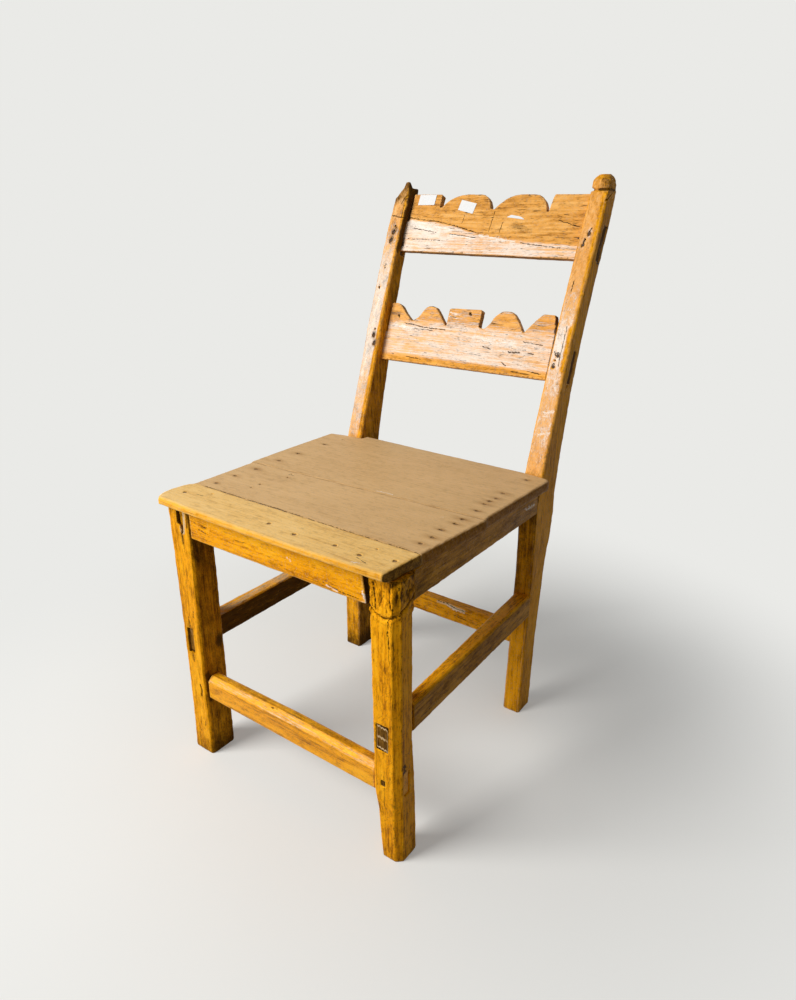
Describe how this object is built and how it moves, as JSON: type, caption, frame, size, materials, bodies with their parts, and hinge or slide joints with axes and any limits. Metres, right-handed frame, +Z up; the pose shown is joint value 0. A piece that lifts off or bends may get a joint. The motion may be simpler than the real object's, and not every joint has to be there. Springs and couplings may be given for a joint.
{
  "type": "side chair",
  "caption": "Worn pine side chair with a nailed board seat, square legs joined by stretchers, raked back posts and two cut-out back rails.",
  "frame": {"origin": "centre of the chair's box, on the floor", "axes": "+Z up, -Y the way the chair faces, +X to the right of a person who stands in front of the chair and looks at it"},
  "size_m": [0.4566, 0.6192, 0.901],
  "materials": {
    "varnished_pine": "old amber varnish, semi-gloss, with dark streaks, dents and chips",
    "shaded_varnish": "old varnish darkened by dirt",
    "scrubbed_pine": "worn pine with thin varnish and pale remains of paint",
    "khaki_paint": "worn matt khaki paint, rubbed through at the edges",
    "honey_varnish": "worn honey-coloured varnish, satin",
    "bare_splinter": "rough end grain, dirty",
    "rusty_iron": "dark rust",
    "paper": "matt white paper"
  },
  "bodies": {
    "root": {"front_left_leg": "varnished_pine", "front_right_leg": "varnished_pine", "back_left_post": "scrubbed_pine", "back_right_post": "scrubbed_pine", "crest_rail": "scrubbed_pine", "lower_back_rail": "scrubbed_pine", "front_apron": "varnished_pine", "left_apron": "shaded_varnish", "right_apron": "shaded_varnish", "back_apron": "shaded_varnish", "front_stretcher": "varnished_pine", "left_stretcher": "shaded_varnish", "right_stretcher": "varnished_pine", "back_stretcher": "varnished_pine", "front_left_plug": "bare_splinter", "front_right_plug": "bare_splinter", "front_right_peg": "bare_splinter", "seat_board_front": "honey_varnish", "seat_board_middle": "khaki_paint", "seat_board_back": "khaki_paint", "seat_nail_front_1": "rusty_iron", "seat_nail_front_2": "rusty_iron", "seat_nail_front_3": "rusty_iron", "seat_nail_front_4": "rusty_iron", "seat_nail_front_5": "rusty_iron", "seat_nail_front_6": "rusty_iron", "seat_nail_middle_1": "rusty_iron", "seat_nail_middle_2": "rusty_iron", "seat_nail_middle_3": "rusty_iron", "seat_nail_middle_4": "rusty_iron", "seat_nail_middle_5": "rusty_iron", "seat_nail_middle_6": "rusty_iron", "seat_nail_middle_7": "rusty_iron", "seat_nail_middle_8": "rusty_iron", "seat_nail_back_1": "rusty_iron", "seat_nail_back_2": "rusty_iron", "seat_nail_back_3": "rusty_iron", "seat_nail_back_4": "rusty_iron", "seat_nail_back_5": "rusty_iron", "seat_nail_back_6": "rusty_iron", "seat_nail_back_7": "rusty_iron", "seat_nail_back_8": "rusty_iron", "seat_nail_back_9": "rusty_iron", "crest_nail_left_upper": "rusty_iron", "crest_nail_left_lower": "rusty_iron", "crest_nail_right_upper": "rusty_iron", "crest_nail_right_lower": "rusty_iron", "lower_nail_left_upper": "rusty_iron", "lower_nail_left_lower": "rusty_iron", "lower_nail_right_upper": "rusty_iron", "lower_nail_right_lower": "rusty_iron", "label_left": "paper", "label_middle": "paper", "label_torn": "paper"}
  },
  "joints": []
}
